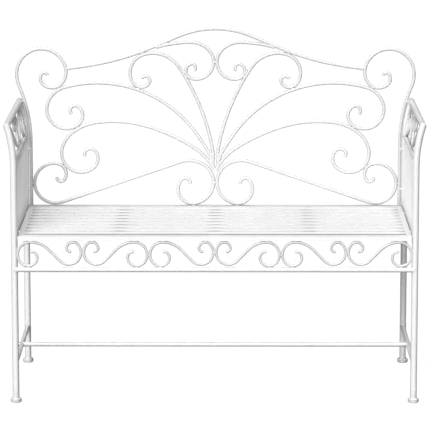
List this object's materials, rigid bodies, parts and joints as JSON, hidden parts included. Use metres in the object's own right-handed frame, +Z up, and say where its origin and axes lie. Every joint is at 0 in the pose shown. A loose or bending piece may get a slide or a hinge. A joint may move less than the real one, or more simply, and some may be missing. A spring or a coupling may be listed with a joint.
{
  "type": "garden bench",
  "caption": "Garden bench of welded metal with open scroll-work back and apron, slatted seat, barred arms and round capped feet, coated white.",
  "frame": {"origin": "on the floor, at the middle of the bench's bounding box", "axes": "+X along the bench to the right as seen from the front, -Y out of the front, +Z up"},
  "size_m": [1.1872, 0.531, 1.0145],
  "materials": {
    "white_coat": "satin white powder coat",
    "white_strip": "satin white powder coat on flat strip",
    "bolt_steel": "zinc plated",
    "glide_nylon": "matt moulded nylon"
  },
  "bodies": {
    "root": {"apron_rail": "white_coat", "apron_scroll_1": "white_coat", "apron_scroll_2": "white_coat", "apron_scroll_3": "white_coat", "apron_scroll_4": "white_coat", "apron_scroll_5": "white_coat", "apron_scroll_6": "white_coat", "back_stubs": "white_coat", "foot_caps": "white_coat", "foot_glides": "glide_nylon", "left_arm_rail": "white_coat", "left_corner_scroll": "white_coat", "left_crown_scroll": "white_coat", "left_front_leg": "white_coat", "left_lower_plume": "white_coat", "left_lower_rail": "white_coat", "left_mid_rail": "white_coat", "left_middle_plume": "white_coat", "left_rear_leg": "white_coat", "left_seat_side_rail": "white_coat", "left_side_bars": "white_coat", "left_side_scroll_front": "white_coat", "left_side_scroll_rear": "white_coat", "left_side_stretcher": "white_coat", "left_upper_plume": "white_coat", "left_wing_scroll": "white_coat", "long_stretcher": "white_coat", "right_arm_rail": "white_coat", "right_corner_scroll": "white_coat", "right_crown_scroll": "white_coat", "right_front_leg": "white_coat", "right_lower_plume": "white_coat", "right_lower_rail": "white_coat", "right_mid_rail": "white_coat", "right_middle_plume": "white_coat", "right_rear_leg": "white_coat", "right_seat_side_rail": "white_coat", "right_side_bars": "white_coat", "right_side_scroll_front": "white_coat", "right_side_scroll_rear": "white_coat", "right_side_stretcher": "white_coat", "right_upper_plume": "white_coat", "right_wing_scroll": "white_coat", "seat_bolts": "bolt_steel", "seat_cross_supports": "white_strip", "seat_front_rail": "white_coat", "seat_rail_plugs": "white_coat", "seat_rear_rail": "white_coat", "seat_slat_1": "white_strip", "seat_slat_2": "white_strip", "seat_slat_3": "white_strip", "seat_slat_4": "white_strip", "seat_slat_5": "white_strip", "seat_slat_6": "white_strip", "seat_slat_7": "white_strip", "seat_slat_8": "white_strip", "seat_slat_9": "white_strip", "seat_spacers": "bolt_steel", "stretcher_bolts": "bolt_steel", "top_rail": "white_coat"}
  },
  "joints": []
}
